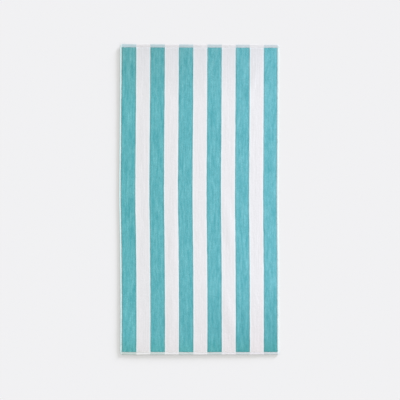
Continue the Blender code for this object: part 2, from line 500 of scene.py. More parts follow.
@dataclass
class Carried:
    """Closed sections carried along paths, as one mesh.

    A ring is a closed section of the same number of corners at each station of a path. Each ring is joined
    to the next by a band of four-sided faces, and the first and the last are closed by a cap.

    Attributes:
        rings: Points, with the axes copy, station, corner and XYZ.
        cloth: Place of each point on the flat cut, with the axes copy, station, corner and across or along.
        border: Distance of each point from the long edge of its stripe, where it belongs to one.
    """

    rings: np.ndarray
    cloth: np.ndarray
    border: np.ndarray | None = None

    def bands(self) -> np.ndarray:
        """List the faces between the rings.

        Returns:
            The numbers of their points, with the axes copy, station, corner and four points.
        """
        copies, stations, corners = self.rings.shape[:3]
        copy, station, corner = np.ogrid[:copies, : stations - 1, :corners]
        here = (copy * stations + station) * corners
        following = (corner + 1) % corners
        return np.stack(
            [here + corner, here + following, here + corners + following, here + corners + corner], axis=-1
        )

    def caps(self) -> np.ndarray:
        """List the faces that close both ends.

        Returns:
            The numbers of their points, with the axes copy, end and points.
        """
        copies, stations, corners = self.rings.shape[:3]
        first = np.arange(copies)[:, None] * stations * corners
        order = np.arange(corners)[None, :]
        return np.stack([first + order[:, ::-1], first + (stations - 1) * corners + order], axis=1)

    def folded_map(self, run: np.ndarray, around: np.ndarray, columns: int) -> tuple[np.ndarray, np.ndarray]:
        """Flat places for baking, with the long run folded into columns side by side.

        Args:
            run: Distance of each station along the path.
            around: Distance of each corner round the section, with the whole girth as one more value.
            columns: How many columns the run is folded into.

        Returns:
            The places of the bands' corners and of the caps' corners, each from 0 to 1.
        """
        copies, stations, corners = self.rings.shape[:3]
        gap = MAP_GAP * around[-1]
        fold = np.arange(stations - 1) * columns // (stations - 1)
        starts = np.array([run[:-1][fold == column][0] for column in range(columns)])
        tallest = max(run[1:][fold == column][-1] - starts[column] for column in range(columns))
        size = max(columns * (around[-1] + gap), tallest * (1 + MAP_GAP) + 2 * gap)
        left = (fold * (around[-1] + gap))[:, None]
        low, high = (run[:-1] - starts[fold])[:, None], (run[1:] - starts[fold])[:, None]
        u = np.stack(np.broadcast_arrays(left + around[:-1], left + around[1:]), axis=-1)
        u = np.concatenate([u, u[..., ::-1]], axis=-1)
        v = np.stack(np.broadcast_arrays(low, low, high, high), axis=-1) + 0 * u
        bands = np.stack([u, v], axis=-1) / size
        turn = np.linspace(0, 2 * math.pi, corners, endpoint=False)
        spot = np.stack([np.cos(turn), np.sin(turn)], axis=-1) * gap / 2 / size
        inset = CAP_GAPS * gap / size
        caps = np.stack([spot[::-1] + 1 - inset, spot + 1 - inset])
        return (
            np.broadcast_to(bands, (copies, *bands.shape)),
            np.broadcast_to(caps, (copies, *caps.shape)),
        )

    def tiled_map(self) -> tuple[np.ndarray, np.ndarray]:
        """Flat places for baking, with each copy in a square of its own.

        Returns:
            The places of the bands' corners and of the caps' corners, each from 0 to 1.
        """
        copies, stations, corners = self.rings.shape[:3]
        side = math.ceil(math.sqrt(copies))
        copy = np.arange(copies)
        tile = np.stack([copy % side, copy // side], axis=-1) / side
        run = np.linspace(TILE_START, TILE_TOP, stations)
        around = np.linspace(TILE_START, TILE_RIGHT, corners + 1)
        u = np.stack(np.broadcast_arrays(around[:-1], around[1:], around[1:], around[:-1]), axis=-1)
        v = np.stack([run[:-1], run[:-1], run[1:], run[1:]], axis=-1)[:, None, :]
        bands = np.stack(np.broadcast_arrays(u[None], v), axis=-1) / side
        turn = np.linspace(0, 2 * math.pi, corners, endpoint=False)
        spot = np.stack([np.cos(turn), np.sin(turn)], axis=-1) * TILE_CAP_RADIUS / side
        ends = np.array(TILE_CAPS) / side
        caps = np.stack([spot[::-1] + ends[0], spot + ends[1]])
        return bands[None] + tile[:, None, None, None, :], caps[None] + tile[:, None, None, :]

    def volume(self) -> float:
        """Add up the volume inside the bands.

        Returns:
            The volume, which is below 0 when the bands are inside out.
        """
        points = self.rings.reshape(-1, 3)
        centred = points - points.mean(axis=0)
        a, b, c, d = (centred[self.bands()[..., k].ravel()] for k in range(4))
        return float((np.cross(a, b) * c).sum() + (np.cross(a, c) * d).sum()) / 6

    def build(self, name: str, maps: tuple[np.ndarray, np.ndarray], sharp: float = 45.0) -> bpy.types.Object:
        """Put the surface into a mesh object with its faces outward.

        Args:
            name: The piece's name.
            maps: The flat places for baking, as folded_map or tiled_map gives them.
            sharp: Angle in degrees from which an edge stays sharp.

        Returns:
            The new object, at the origin.
        """
        bands, caps = self.bands().reshape(-1, 4), self.caps()
        band_map, cap_map = maps[0].reshape(-1, 4, 2), maps[1]
        caps, cap_map = caps.reshape(-1, caps.shape[-1]), cap_map.reshape(-1, caps.shape[-1], 2)
        if self.volume() < 0:
            bands, caps = bands[:, ::-1], caps[:, ::-1]
            band_map, cap_map = band_map[:, ::-1], cap_map[:, ::-1]
        corners = np.concatenate([bands.ravel(), caps.ravel()]).astype(np.int32)
        starts = np.concatenate(
            [np.arange(len(bands)) * 4, bands.size + np.arange(len(caps)) * caps.shape[1]]
        ).astype(np.int32)
        points = self.rings.reshape(-1, 3)
        mesh = bpy.data.meshes.new(name)
        mesh.vertices.add(len(points))
        mesh.vertices.foreach_set("co", points.astype(np.float32).ravel())
        mesh.loops.add(len(corners))
        mesh.loops.foreach_set("vertex_index", corners)
        mesh.polygons.add(len(starts))
        mesh.polygons.foreach_set("loop_start", starts)
        mesh.update(calc_edges=True)
        for title, places in (
            (CLOTH_MAP, self.cloth.reshape(-1, 2)[corners]),
            (BAKE_MAP, np.concatenate([band_map.reshape(-1, 2), cap_map.reshape(-1, 2)])),
        ):
            layer = mesh.uv_layers.new(name=title)
            layer.uv.foreach_set("vector", np.ascontiguousarray(places, dtype=np.float32).ravel())
        if self.border is not None:
            layer = mesh.attributes.new(name=BORDER, type="FLOAT", domain="POINT")
            layer.data.foreach_set("value", np.ascontiguousarray(self.border, dtype=np.float32).ravel())
        mesh.shade_smooth()
        mesh.set_sharp_from_angle(angle=math.radians(sharp))
        piece = bpy.data.objects.new(name, mesh)
        bpy.context.scene.collection.objects.link(piece)
        return piece


def triangles_of(piece: bpy.types.Object) -> int:
    """Count the triangles of a piece's mesh."""
    return len(piece.data.loops) - 2 * len(piece.data.polygons)


@dataclass(frozen=True)
class Bumps:
    """Soft random bumps: their height and the size of their cells, across and along."""

    height: float
    across: float
    along: float


@dataclass(frozen=True)
class Waver:
    """A waver of an edge: its length and its weight."""

    length: float
    weight: float


@dataclass
class PileRelief:
    """Height of the pile above the cloth's underside, and how its edges waver.

    Attributes:
        cut: The flat cut.
        bumps: Its tufts, its lengthwise streaks and its slow swell.
        edge_sink: How much lower the pile lies at a hem than elsewhere.
        sink_reach: How far in from the hem that begins.
        edge_round: Width over which the pile rounds down to a hem.
        foot: Height at which it ends there.
        ragged: Share by which that width varies.
        ragged_cell: Length over which it varies.
        wobble: How far an edge of a stripe wavers to either side.
        wobble_reach: How far into a stripe that is felt.
        side_wavers: The wavers of a stripe's long edges.
        end_waver_length: Length of the wavers at the pile's two ends.
    """

    cut: Cut
    bumps: tuple[Bumps, ...] = (
        Bumps(height=0.00008, across=0.0034, along=0.0042),
        Bumps(height=0.00006, across=0.0080, along=0.0340),
        Bumps(height=0.00008, across=0.0260, along=0.0700),
    )
    edge_sink: float = 0.0004
    sink_reach: float = 0.012
    edge_round: float = 0.0024
    foot: float = 0.0020
    ragged: float = 0.35
    ragged_cell: float = 0.004
    wobble: float = 0.0003
    wobble_reach: float = 0.012
    side_wavers: tuple[Waver, ...] = (Waver(length=0.008, weight=0.2), Waver(length=0.032, weight=0.9))
    end_waver_length: float = 0.005

    def height(self, across: np.ndarray, along: np.ndarray) -> np.ndarray:
        """Height of the pile's surface.

        The bumps are added to the pile's thickness. Towards the hems the surface sinks a little and then
        falls as a quarter of an ellipse.

        Args:
            across: Distances across the cut.
            along: Distances along it.

        Returns:
            The heights above the underside.
        """
        full = np.full(np.broadcast(across, along).shape, self.cut.pile)
        for seed, bumps in enumerate(self.bumps, start=SEED_BUMPS):
            full += bumps.height * soft_noise(across, along, bumps.across, bumps.along, seed)
        from_ends = np.minimum(along - self.cut.pile_foot, self.cut.pile_head - along)
        inset = np.minimum(self.cut.inner_side - np.abs(across), from_ends)
        full -= self.edge_sink * np.clip(1 - inset / self.sink_reach, 0, 1) ** 2
        cell = self.ragged_cell
        inset = inset * (1 + self.ragged * soft_noise(across, along, cell, cell, SEED_RAGGED))
        share = np.clip(inset / self.edge_round, 0, 1)
        return self.foot + (full - self.foot) * np.sqrt(1 - (1 - share) ** 2)

    def side_waver(self, across: np.ndarray, along: np.ndarray, stripe: Stripe) -> np.ndarray:
        """How far the two edges of a stripe move the points beside them to the right.

        Args:
            across: Distances across the cut.
            along: Distances along it.
            stripe: The stripe that the points are in.

        Returns:
            The moves, the same on both sides of an edge that two stripes share.
        """
        moved = np.zeros(np.broadcast(across, along).shape)
        for edge in (stripe.left, stripe.right):
            seed = SEED_STRIPE_EDGE + round((edge + self.cut.width) / MM)
            waver = np.zeros(np.shape(along))
            for number, part in enumerate(self.side_wavers):
                waver += soft_noise(along, 0 * along, part.length, 1.0, seed + number) * part.weight
            near = np.clip(1 - np.abs(across - edge) / self.wobble_reach, 0, 1)
            moved += self.wobble * waver * near
        return moved

    def end_waver(self, across: np.ndarray, along: np.ndarray) -> np.ndarray:
        """How far the pile's two ends move the points beside them along the cut.

        Args:
            across: Distances across the cut.
            along: Distances along it.

        Returns:
            The moves.
        """
        moved = np.zeros(np.broadcast(across, along).shape)
        for end, seed in ((self.cut.pile_foot, SEED_FOOT), (self.cut.pile_head, SEED_HEAD)):
            waver = soft_noise(across, 0 * across, self.end_waver_length, 1.0, seed)
            near = np.clip(1 - np.abs(along - end) / self.wobble_reach, 0, 1)
            moved += self.wobble * waver * near
        return moved


@dataclass
class PileField:
    """The pile of every stripe, each a closed slab set into the ground weave.

    Attributes:
        laid: How the cloth lies.
        relief: The pile's surface.
        step: Spacing of the surface's points.
        root: Height at which the slabs end inside the ground weave.
        fine: Distances in from a hem where there are points too, for the rounded edge.
        wall: Room that a side wall takes on the bake map.
        columns: How many columns a stripe is folded into for baking.
    """

    laid: LaidOut
    relief: PileRelief
    step: float = 0.0024
    root: float = 0.0014
    fine: tuple[float, ...] = (0.0003, 0.0008, 0.0016, 0.0026)
    wall: float = 0.002
    columns: int = 5

    def build_stripe(self, stripe: Stripe) -> bpy.types.Object:
        """Build the pile of one stripe.

        The section across is the relief's top line, closed by a wall down each side and a flat underside.
        It is carried along the whole pile.

        Args:
            stripe: The stripe to build.

        Returns:
            The stripe's pile.
        """
        cut = self.laid.cut
        lines = steps_between(stripe.left, stripe.right, self.step, self._fine_across(stripe))
        runs = steps_between(cut.pile_foot, cut.pile_head, self.step, self.fine)
        across, along = np.meshgrid(lines, runs)
        up = self.relief.height(across, along)
        sides = np.full((len(runs), 1), self.root)
        across = np.concatenate([across[:, :1], across, across[:, -1:]], axis=1)
        along = np.concatenate([along[:, :1], along, along[:, -1:]], axis=1)
        up = np.concatenate([sides, up, sides], axis=1)
        border = stripe.border(across)
        across = across + self.relief.side_waver(across, along, stripe)
        along = along + self.relief.end_waver(across, along)
        surface = Carried(
            rings=self.laid.place(across, along, up)[None],
            cloth=np.stack([across, along], axis=-1)[None],
            border=border,
        )
        top = lines - lines[0] + self.wall
        around = np.concatenate([[0.0], top, [top[-1] + self.wall, top[-1] + 2 * self.wall]])
        return surface.build(stripe.name, surface.folded_map(runs, around, self.columns))

    def _fine_across(self, stripe: Stripe) -> tuple[float, ...]:
        """Fine lines are needed only in the two stripes that end at a side hem."""
        outermost = max(abs(stripe.left), abs(stripe.right)) > self.laid.cut.inner_side - MM
        return self.fine if outermost else ()


@dataclass
class Ground:
    """The woven ground of the cloth, with the pile of its back in its underside.

    Attributes:
        laid: How the cloth lies.
        step: Spacing of the surface's points.
        inset: How far its edge stays inside the fold of the hems.
        top: Height of its upper face under the pile.
        hem_top: Height of its upper face inside the hems.
        hem_bottom: Height of its lower face inside the hems.
        slope: Half of the width over which its faces draw together at a hem.
        back: The uneven pile of its back.
        map_gap: Room between its two faces on the bake map.
    """

    laid: LaidOut
    step: float = 0.009
    inset: float = 0.0013
    top: float = 0.0018
    hem_top: float = 0.0016
    hem_bottom: float = 0.0006
    slope: float = 0.001
    back: Bumps = Bumps(height=0.00010, across=0.009, along=0.012)
    map_gap: float = 0.002

    def build(self) -> bpy.types.Object:
        """Build the ground weave.

        The section across is an upper and a lower line, carried along the whole cloth. Inside the hems the
        two lines draw together.

        Returns:
            The ground weave.
        """
        cut = self.laid.cut
        half_width, half_length = cut.width / 2 - self.inset, cut.length / 2 - self.inset
        side_fold, foot_fold, head_fold = (
            cut.hem_width(side) + Hem.lap - self.inset for side in (Side.LEFT, Side.FOOT, Side.HEAD)
        )
        near_sides = (side_fold - self.slope, side_fold + self.slope)
        near_ends = (foot_fold - self.slope, foot_fold + self.slope, head_fold + self.slope)
        lines = steps_between(-half_width, half_width, self.step, near_sides)
        runs = steps_between(-half_length, half_length, self.step, near_ends)
        across, along = np.meshgrid(lines, runs)
        hemmed = np.abs(across) > half_width - side_fold
        hemmed |= (along < foot_fold - half_length) | (along > half_length - head_fold)
        back = self.back
        rough = back.height * np.abs(soft_noise(across, along, back.across, back.along, SEED_BACK))
        over = np.where(hemmed, self.hem_top, self.top)
        under = np.where(hemmed, self.hem_bottom, rough)
        across = np.concatenate([across, across[:, ::-1]], axis=1)
        along = np.concatenate([along, along[:, ::-1]], axis=1)
        up = np.concatenate([over, under[:, ::-1]], axis=1)
        surface = Carried(
            rings=self.laid.place(across, along, up)[None],
            cloth=np.stack([across, along], axis=-1)[None],
        )
        top_run = lines - lines[0]
        next_run = top_run[-1] + self.map_gap
        around = np.concatenate([top_run, top_run + next_run, [2 * next_run]])
        return surface.build("ground_weave", surface.folded_map(runs, around, 1))


@dataclass
class Hem:
    """One turned hem: a flat tube of folded cloth along a side.

    Attributes:
        lap: How far it reaches under the pile.
        laid: How the cloth lies.
        side: The side that it is on.
        tuck: How much lower its upper face lies at the end of that.
        stitch_in: How far the stitches lie outside the pile's edge.
        dip: How deep they draw the cloth in.
        dip_width: How far to either side of them that is felt.
        back_dip: Share of the dip that shows on the back.
        stitch_corners: Where its section has corners round the stitches, in widths of the dip.
        past_edge: How far past the pile's edge its upper face has its last corner but one.
        clearance: Height of its lower face.
        fold_turn: Angle up and down to which its rounded fold reaches, in degrees.
        fold_corners: Corners of its section round the fold.
        level_corners: Corners of the level stretch of its upper face.
        level_end: How far from the stitches that stretch ends, in widths of the dip.
        puckers: Soft unevenness of its faces, along the hem and inward.
        fold_waver: How far its fold wavers in and out.
        waver_length: Length of those wavers.
        short: How far a side hem ends short of the cloth's ends.
        round_off: Length over which an end hem rounds off at its ends.
        round_floor: Share of that length that is left off, so that it stays open.
        corner_lift: How much higher an end hem lies where a side hem runs on inside it.
        inner_reach: Length over which a side hem thins where it runs on inside an end hem.
        inner_thinning: Share of its thickness that goes there.
        inner_inset: How far its fold draws in there.
        step: Spacing of its sections.
        fine: Distances in from its ends where there are sections too.
        columns: How many columns it is folded into for baking.
    """

    lap: ClassVar[float] = 0.0015

    laid: LaidOut
    side: Side
    tuck: float = 0.0005
    stitch_in: float = 0.0020
    dip: float = 0.00045
    dip_width: float = 0.0009
    back_dip: float = 0.6
    stitch_corners: tuple[float, ...] = (-1.6, -0.8, 0.0, 0.8, 1.6)
    past_edge: float = 0.0002
    clearance: float = 0.00005
    fold_turn: float = 72.0
    fold_corners: int = 5
    level_corners: int = 4
    level_end: float = 3.0
    puckers: tuple[Bumps, ...] = (
        Bumps(height=0.00010, across=0.007, along=0.006),
        Bumps(height=0.00008, across=0.019, along=0.009),
    )
    fold_waver: float = 0.00022
    waver_length: float = 0.030
    short: float = 0.002
    round_off: float = 0.0016
    round_floor: float = 0.08
    corner_lift: float = 0.00035
    inner_reach: float = 0.003
    inner_thinning: float = 0.4
    inner_inset: float = 0.0009
    step: float = 0.005
    fine: tuple[float, ...] = (0.0003, 0.0008, 0.0016, 0.003, 0.005, 0.008, 0.0115, 0.015)
    columns: int = 7

    @property
    def width(self) -> float:
        """Width of the hem from its fold to the pile."""
        return self.laid.cut.hem_width(self.side)

    @property
    def at_end(self) -> bool:
        """Whether the hem is at the foot or the head."""
        return self.side in (Side.FOOT, Side.HEAD)

    @property
    def stitch_line(self) -> float:
        """Distance of the stitches from the hem's fold."""
        return self.width - self.stitch_in

    @property
    def half_run(self) -> float:
        """Half of the hem's length: a side hem ends inside the two end hems."""
        cut = self.laid.cut
        return cut.width / 2 if self.at_end else cut.length / 2 - self.short

    def spot(self, run: np.ndarray, inward: np.ndarray) -> tuple[np.ndarray, np.ndarray]:
        """Turn a place on the hem into one on the flat cut.

        Args:
            run: Distance along the hem from its middle.
            inward: Distance from the cloth's edge.

        Returns:
            The distances across and along the cut.
        """
        cut = self.laid.cut
        if self.side is Side.LEFT:
            return inward - cut.width / 2, run
        if self.side is Side.RIGHT:
            return cut.width / 2 - inward, run
        if self.side is Side.FOOT:
            return run, inward - cut.length / 2
        return run, cut.length / 2 - inward

    def height(self, inward: np.ndarray, face: Face) -> np.ndarray:
        """Height of the hem's face above the underside: level, and drawn in along the stitches.

        Args:
            inward: Distances from the cloth's edge.
            face: Which face.

        Returns:
            The heights.
        """
        drawn = self.dip * np.exp(-(((inward - self.stitch_line) / self.dip_width) ** 2))
        thick = self.laid.cut.hem
        if face is Face.FRONT:
            under_pile = np.clip((inward - self.width) / self.lap, 0, 1)
            return thick - drawn - self.tuck * under_pile
        return self.clearance + self.back_dip * drawn

    def section(self) -> tuple[np.ndarray, np.ndarray]:
        """Work out the hem's section.

        An arc at the fold joins the upper face to the lower one. There are more corners round the stitches.

        Returns:
            The distance in from the edge and the height of each corner, from the fold's foot over the top.
        """
        radius = self.laid.cut.hem / 2
        turn = np.radians(np.linspace(-self.fold_turn, self.fold_turn, self.fold_corners))
        tip_in = radius * (1 - np.cos(turn))
        tip_up = radius * (1 + np.sin(turn))
        stitch = self.stitch_line + self.dip_width * np.array(self.stitch_corners)
        level_end = self.stitch_line - self.level_end * self.dip_width
        level = np.linspace(radius, level_end, self.level_corners)
        end = np.array([self.width + self.past_edge, self.width + self.lap])
        upper = np.concatenate([level, stitch, end])
        lower = np.concatenate([level[::2], stitch[1:-1], end[1:]])[::-1]
        inward = np.concatenate([tip_in, upper, lower])
        up = np.concatenate([tip_up, self.height(upper, Face.FRONT), self.height(lower, Face.BACK)])
        return inward, up

    def build(self) -> bpy.types.Object:
        """Build the hem.

        Its section is carried along the edge. The fold wavers a little, the stitches pucker it, and it
        thins towards its two ends: an end hem rounds off there, and a side hem runs on inside an end hem.

        Returns:
            The hem.
        """
        cut = self.laid.cut
        section_in, section_up = self.section()
        runs = steps_between(-self.half_run, self.half_run, self.step, self.fine)
        run, inward = np.meshgrid(runs, section_in, indexing="ij")
        up = np.broadcast_to(section_up, run.shape)
        seed = SEED_HEM + list(Side).index(self.side)
        pucker = np.zeros(run.shape)
        for bumps in self.puckers:
            pucker += bumps.height * soft_noise(run, inward, bumps.across, bumps.along, seed)
            seed += SEED_STEP
        waver = self.fold_waver * soft_noise(run, 0 * inward, self.waver_length, 1.0, seed)
        inner = np.clip(inward / self.width, 0, 1)
        middle = cut.hem / 2
        from_end = self.half_run - np.abs(run)
        if self.at_end:
            rounded = np.sqrt(1 - (1 - np.clip(from_end / self.round_off, self.round_floor, 1)) ** 2)
            up = middle + (up - middle) * rounded
            over_side = np.clip(2 - from_end / cut.side_hem, 0, 1)
            lift = self.corner_lift * over_side * np.clip(up / cut.hem, 0, 1)
            shift = waver * (1 - inner)
        else:
            end_hem = np.where(run < 0, cut.foot_hem, cut.head_hem)
            inside = np.clip((end_hem - from_end) / self.inner_reach, 0, 1)
            up = middle + (up - middle) * (1 - self.inner_thinning * inside)
            lift = 0.0
            shift = waver * (1 - inner) + self.inner_inset * inside * (1 - inner)
        up = up + lift + pucker * np.clip(up / cut.hem, 0, 1)
        across, along = self.spot(run, inward + shift)
        surface = Carried(
            rings=self.laid.place(across, along, up)[None],
            cloth=np.stack([across, along], axis=-1)[None],
        )
        legs_in = np.diff(section_in, append=section_in[:1])
        legs_up = np.diff(section_up, append=section_up[:1])
        around = np.concatenate([[0.0], np.cumsum(np.hypot(legs_in, legs_up))])
        bake = surface.folded_map(runs, around, self.columns)
        return surface.build(f"hem_{self.side.value}", bake, sharp=60.0)


@dataclass(frozen=True)
class Strand:
    """A short length of yarn, as a template that is copied many times.

    Attributes:
        length: From end to end along its own run.
        radius: Half its thickness.
        rise: How far its middle stands above its ends.
        stations: Number of its sections.
        corners: Number of corners of a section.
        taper: Share by which it is thinner at its ends.
    """

    length: float
    radius: float
    rise: float
    stations: int
    corners: int
    taper: float = 0.3

    def rings(self) -> np.ndarray:
        """Points of the template.

        A circle is carried along an arch, whose height is a half wave of a sine, and it tapers towards
        both ends.

        Returns:
            Points with the axes station, corner and run, side and up.
        """
        share = np.linspace(0, 1, self.stations)[:, None]
        turn = np.linspace(0, 2 * math.pi, self.corners, endpoint=False)[None, :]
        slope = self.rise * math.pi * np.cos(math.pi * share) / self.length
        lean = np.arctan(slope)
        thick = self.radius * (1 - self.taper + self.taper * np.sin(math.pi * share))
        run = self.length * (share - 0.5) - thick * np.sin(turn) * np.sin(lean)
        side = thick * np.cos(turn) + 0 * share
        up = self.rise * np.sin(math.pi * share) + thick * np.sin(turn) * np.cos(lean)
        return np.stack([run, side, up], axis=-1)


@dataclass
class StitchRow:
    """The row of lockstitches that holds one hem down, as it shows on one face.

    Attributes:
        hem: The hem.
        face: The face of the cloth.
        pitch: Distance from stitch to stitch.
        cover: Share of it that a stitch's thread takes up.
        radius: Half the thread's thickness.
        rise: How far a stitch's middle stands above its ends.
        sunk: How deep its ends lie in the cloth.
        back_share: Share of its height that shows on the back.
        stray_turn: How much the stitches' direction varies, in degrees.
        stray: How far they lie off their line.
        end_gap: How far the row stops short of the ends of an end hem.
        lowest: Least height of the thread above the floor.
        front_mesh: Sections of a stitch and their corners, on the front.
        back_mesh: The same on the back.
    """

    hem: Hem
    face: Face
    pitch: float = 0.0028
    cover: float = 0.92
    radius: float = 0.00024
    rise: float = 0.00038
    sunk: float = 0.00012
    back_share: float = 0.6
    stray_turn: float = 3.5
    stray: float = 0.00006
    end_gap: float = 0.002
    lowest: float = 0.00002
    front_mesh: tuple[int, int] = (5, 5)
    back_mesh: tuple[int, int] = (4, 4)

    def build(self) -> bpy.types.Object:
        """Build the row of stitches.

        Each is a short strand along the hem's stitch line that dives into the cloth at both ends.

        Returns:
            The stitches as one piece.
        """
        front = self.face is Face.FRONT
        stations, corners = self.front_mesh if front else self.back_mesh
        template = Strand(self.cover * self.pitch, self.radius, self.rise, stations, corners).rings()
        cut = self.hem.laid.cut
        at_foot, at_head = (self.end_gap, self.end_gap) if self.hem.at_end else (cut.foot_hem, cut.head_hem)
        first, last = at_foot - self.hem.half_run, self.hem.half_run - at_head
        count = int((last - first) / self.pitch)
        middles = (first + last) / 2 + (np.arange(count) - (count - 1) / 2) * self.pitch
        number = list(Side).index(self.hem.side) + (0 if front else len(Side))
        dice = np.random.default_rng(SEED_STITCHES + number)
        turn = np.radians(dice.normal(0, self.stray_turn, count))[:, None, None]
        slip = dice.normal(0, self.stray, count)[:, None, None]
        run = template[None, ..., 0] * np.cos(turn) - template[None, ..., 1] * np.sin(turn)
        side = template[None, ..., 0] * np.sin(turn) + template[None, ..., 1] * np.cos(turn)
        inward = self.hem.stitch_line + side + slip
        base = self.hem.height(np.array(self.hem.stitch_line), self.face)
        up = base + (template[None, ..., 2] - self.sunk) * (1 if front else -self.back_share)
        across, along = self.hem.spot(middles[:, None, None] + run, inward)
        rings = self.hem.laid.place(across, along, np.maximum(up, self.lowest))
        surface = Carried(rings=rings, cloth=np.stack([across, along], axis=-1))
        name = f"stitches_{self.hem.side.value}_{self.face.value}"
        return surface.build(name, surface.tiled_map(), sharp=80.0)


@dataclass
class EdgeLoops:
    """Loops of pile yarn that stand along the hems, where the pile ends.

    Attributes:
        laid: How the cloth lies.
        relief: The pile's surface.
        loop: One loop, standing upright.
        pitch: Distance from loop to loop.
        inset: How far in from the pile's edge they stand.
        root: How deep in the pile they start.
        stray: How far they lie off their row.
        most_turn: Greatest turn of a loop about its own stem, in radians.
        leans: Least and greatest lean outward, in radians.
        sizes: Least and greatest size, as shares of the loop's.
    """

    laid: LaidOut
    relief: PileRelief
    loop: Strand = Strand(length=0.0019, radius=0.00036, rise=0.0019, stations=6, corners=4)
    pitch: float = 0.0026
    inset: float = 0.00055
    root: float = 0.0009
    stray: float = 0.00035
    most_turn: float = 0.9
    leans: tuple[float, float] = (0.15, 0.95)
    sizes: tuple[float, float] = (0.8, 1.15)

    def build(self, yarn: Yarn) -> bpy.types.Object:
        """Build the loops of one yarn.

        Each is a tall arch of yarn that stands at the pile's edge, turned and leaned at random.

        Args:
            yarn: Which stripes' loops to build.

        Returns:
            The loops as one piece.
        """
        template = self.loop.rings()
        across, along, out_x, out_y, border = self._roots(yarn)
        count = len(across)
        dice = np.random.default_rng(SEED_LOOPS + list(Yarn).index(yarn))
        yaw = dice.uniform(-self.most_turn, self.most_turn, count)[:, None, None]
        lean = dice.uniform(*self.leans, count)[:, None, None]
        size = dice.uniform(*self.sizes, count)[:, None, None]
        run, side, up = (template[None, ..., k] * size for k in range(3))
        outward, rise = side * np.cos(lean) + up * np.sin(lean), up * np.cos(lean) - side * np.sin(lean)
        spun_run = run * np.cos(yaw) - outward * np.sin(yaw)
        spun_out = run * np.sin(yaw) + outward * np.cos(yaw)
        out_x, out_y = out_x[:, None, None], out_y[:, None, None]
        loop_across = across[:, None, None] + spun_out * out_x - spun_run * out_y
        loop_along = along[:, None, None] + spun_out * out_y + spun_run * out_x
        height = self.relief.height(across, along)[:, None, None]
        rings = self.laid.place(loop_across, loop_along, height - self.root + rise)
        spread = np.broadcast_to(across[:, None, None], rings.shape[:3])
        cloth = np.stack([spread + 0 * loop_across, loop_along], axis=-1)
        spread = np.broadcast_to(border[:, None, None], rings.shape[:3])
        surface = Carried(rings=rings, cloth=cloth, border=spread)
        return surface.build(f"edge_loops_{yarn.value}", surface.tiled_map(), sharp=80.0)

    def _roots(self, yarn: Yarn) -> tuple[np.ndarray, ...]:
        """Where the loops of one yarn stand.

        Args:
            yarn: Which stripes' loops to place.

        Returns:
            Their places across and along the cut, the outward direction at each in two parts, and the
            distance of each from the long edge of its stripe.
        """
        cut = self.laid.cut
        pieces = []
        for stripe in cut.stripes():
            if stripe.yarn is not yarn:
                continue
            spots = np.arange(stripe.left + self.pitch / 2, stripe.right, self.pitch)
            for sign, place in ((-1, cut.pile_foot + self.inset), (1, cut.pile_head - self.inset)):
                end = np.full_like(spots, place)
                pieces.append((spots, end, 0 * spots, 0 * spots + sign, stripe.border(spots)))
        if yarn is Yarn.TEAL:
            spots = np.arange(cut.pile_foot + self.pitch, cut.pile_head - self.pitch / 2, self.pitch)
            for sign in (-1, 1):
                side = np.full_like(spots, sign * (cut.inner_side - self.inset))
                pieces.append((side, spots, 0 * spots + sign, 0 * spots, 0 * spots + self.inset))
        across, along, out_x, out_y, border = (np.concatenate(part) for part in zip(*pieces))
        dice = np.random.default_rng(SEED_ROOTS + list(Yarn).index(yarn))
        across = across + dice.normal(0, self.stray, len(across))
        along = along + dice.normal(0, self.stray, len(along))
        return across, along, out_x, out_y, border


